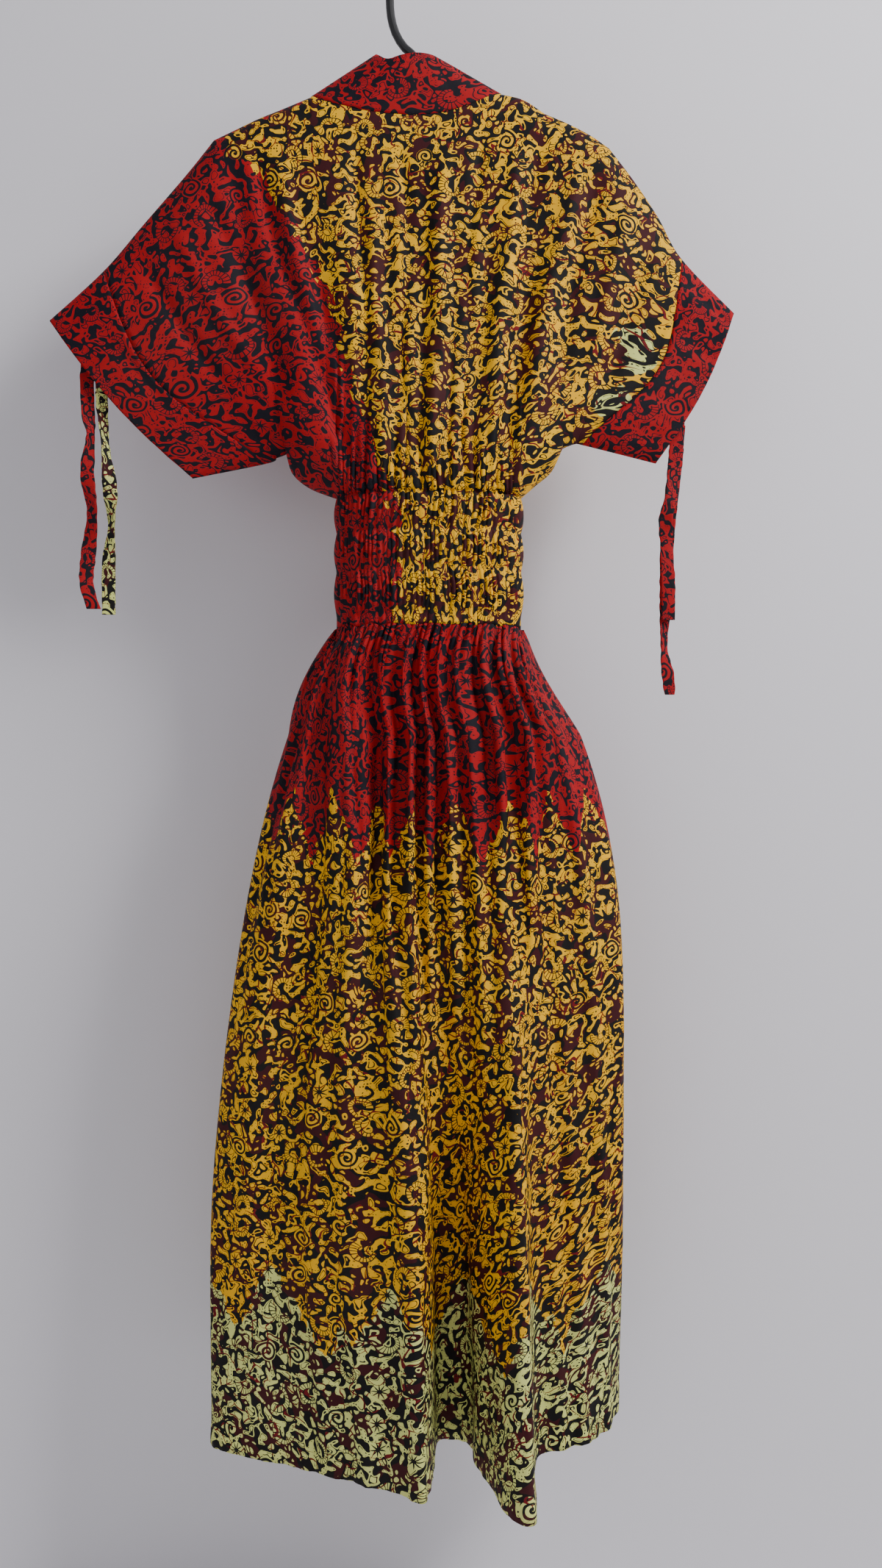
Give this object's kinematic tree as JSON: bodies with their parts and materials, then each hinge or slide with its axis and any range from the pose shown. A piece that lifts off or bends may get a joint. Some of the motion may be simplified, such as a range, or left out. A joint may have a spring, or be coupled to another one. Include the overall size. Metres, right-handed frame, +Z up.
{
  "type": "wax print dress on a hanger",
  "caption": "Full-length wax print cotton dress with kimono sleeves, shirred waist and gathered skirt, hanging on a tubular hanger, back view.",
  "frame": {"origin": "highest point inside the hanger's hook, where a rail or wall hook holds it", "axes": "+Z up, -Y out of the back of the dress, which is the side shown, +X to the right of someone looking at the back"},
  "size_m": [0.7353, 0.2052, 1.5901],
  "materials": {
    "print_bodice": "crisp wax-finished cotton, yellow, red and lime print under black",
    "print_skirt": "crisp wax-finished cotton, red, yellow and lime bands under black",
    "print_red": "crisp wax-finished cotton, red under black",
    "print_tie": "crisp wax-finished cotton, red or lime under black",
    "black_plastic": "smooth moulded plastic, satin"
  },
  "bodies": {
    "root": {"bodice_back": "print_bodice", "bodice_front": "print_bodice", "cuff_left": "print_red", "cuff_right": "print_red", "neckband_back": "print_red", "neckband_left": "print_red", "neckband_right": "print_red", "skirt_back": "print_skirt", "skirt_front": "print_skirt", "tie_left_outer": "print_tie", "tie_left_inner": "print_tie", "tie_right_front": "print_tie", "tie_right_behind": "print_tie", "hanger": "black_plastic"}
  },
  "joints": []
}
